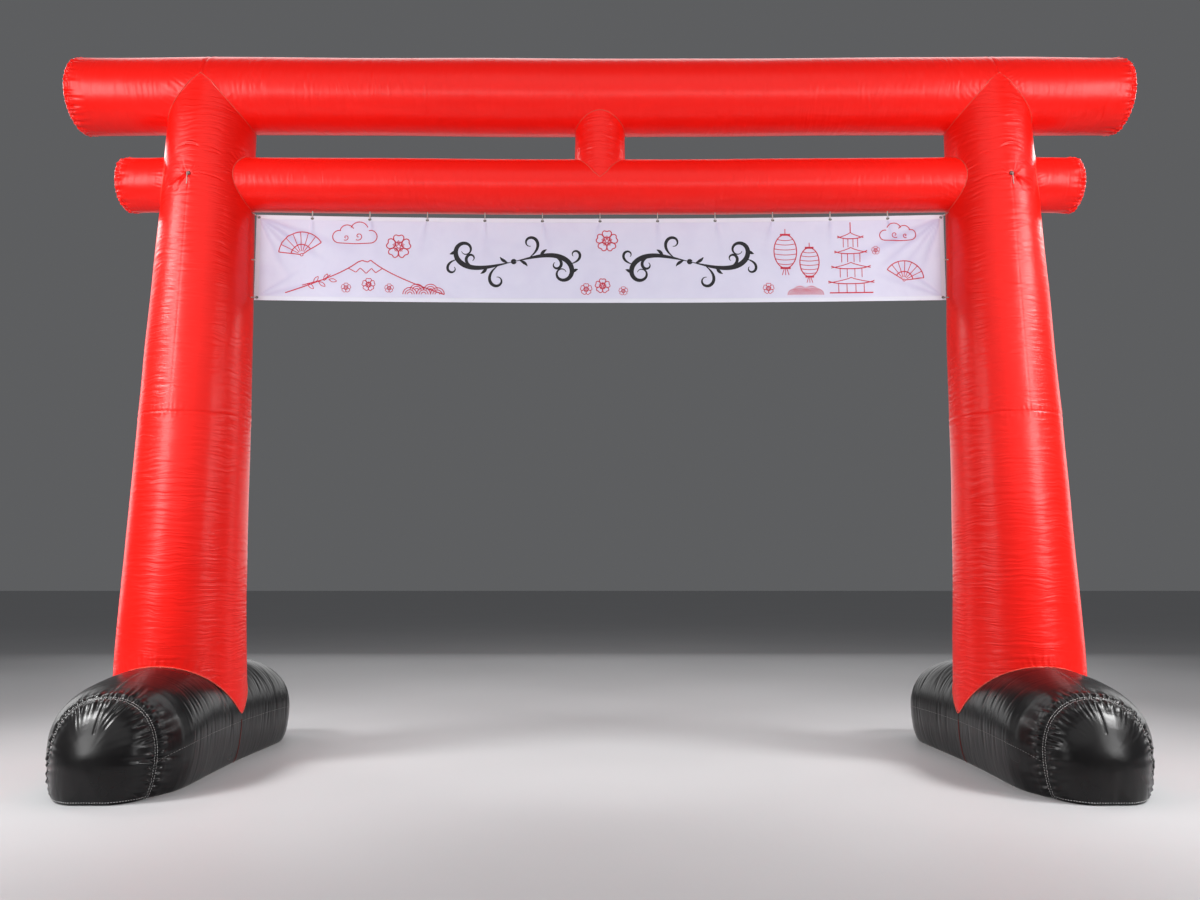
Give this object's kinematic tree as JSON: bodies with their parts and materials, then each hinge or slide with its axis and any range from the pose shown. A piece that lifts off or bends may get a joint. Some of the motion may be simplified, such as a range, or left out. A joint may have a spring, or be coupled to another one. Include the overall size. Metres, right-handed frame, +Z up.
{
  "type": "inflatable arch",
  "caption": "Inflatable gate arch: two tapered pillars on long floor tubes carry a thick top beam and a thinner lower beam, with a cloth banner tied below it.",
  "frame": {"origin": "on the floor under the middle of the gate", "axes": "+X along the beams to the gate's right as seen from the front, +Y through the gate to the back, +Z up; the banner and the pillar eyelets face -Y"},
  "size_m": [6.2326, 1.9615, 4.033],
  "materials": {
    "red_pvc": "glossy coated fabric, blown taut",
    "black_pvc": "glossy coated fabric, blown taut",
    "banner_cloth": "matt polyester cloth with a lilac tint",
    "white_cord": "braided cord",
    "eyelet_metal": "pressed and plated"
  },
  "bodies": {
    "root": {"top_beam_middle": "red_pvc", "top_beam_left": "red_pvc", "top_beam_right": "red_pvc", "top_beam_end_left": "red_pvc", "top_beam_end_right": "red_pvc", "lower_beam_middle": "red_pvc", "lower_beam_left": "red_pvc", "lower_beam_right": "red_pvc", "lower_beam_end_left": "red_pvc", "lower_beam_end_right": "red_pvc", "centre_strut": "red_pvc", "pillar_left_lower": "red_pvc", "pillar_left_upper": "red_pvc", "pillar_right_lower": "red_pvc", "pillar_right_upper": "red_pvc", "foot_left_front": "black_pvc", "foot_left_front_end": "black_pvc", "foot_left_rear": "black_pvc", "foot_left_rear_end": "black_pvc", "foot_right_front": "black_pvc", "foot_right_front_end": "black_pvc", "foot_right_rear": "black_pvc", "foot_right_rear_end": "black_pvc", "banner": "banner_cloth", "eyelet_top_left": "eyelet_metal", "eyelet_top_01": "eyelet_metal", "eyelet_top_02": "eyelet_metal", "eyelet_top_03": "eyelet_metal", "eyelet_top_04": "eyelet_metal", "eyelet_top_05": "eyelet_metal", "eyelet_top_06": "eyelet_metal", "eyelet_top_07": "eyelet_metal", "eyelet_top_08": "eyelet_metal", "eyelet_top_09": "eyelet_metal", "eyelet_top_10": "eyelet_metal", "eyelet_top_11": "eyelet_metal", "eyelet_top_right": "eyelet_metal", "eyelet_bottom_left": "eyelet_metal", "eyelet_bottom_right": "eyelet_metal", "pillar_eyelet_left": "eyelet_metal", "pillar_eyelet_right": "eyelet_metal", "tie_top_left": "white_cord", "tie_top_01": "white_cord", "tie_top_02": "white_cord", "tie_top_03": "white_cord", "tie_top_04": "white_cord", "tie_top_05": "white_cord", "tie_top_06": "white_cord", "tie_top_07": "white_cord", "tie_top_08": "white_cord", "tie_top_09": "white_cord", "tie_top_10": "white_cord", "tie_top_11": "white_cord", "tie_top_right": "white_cord", "tie_bottom_left": "white_cord", "tie_bottom_right": "white_cord", "tail_left": "white_cord", "tail_right": "white_cord"}
  },
  "joints": []
}
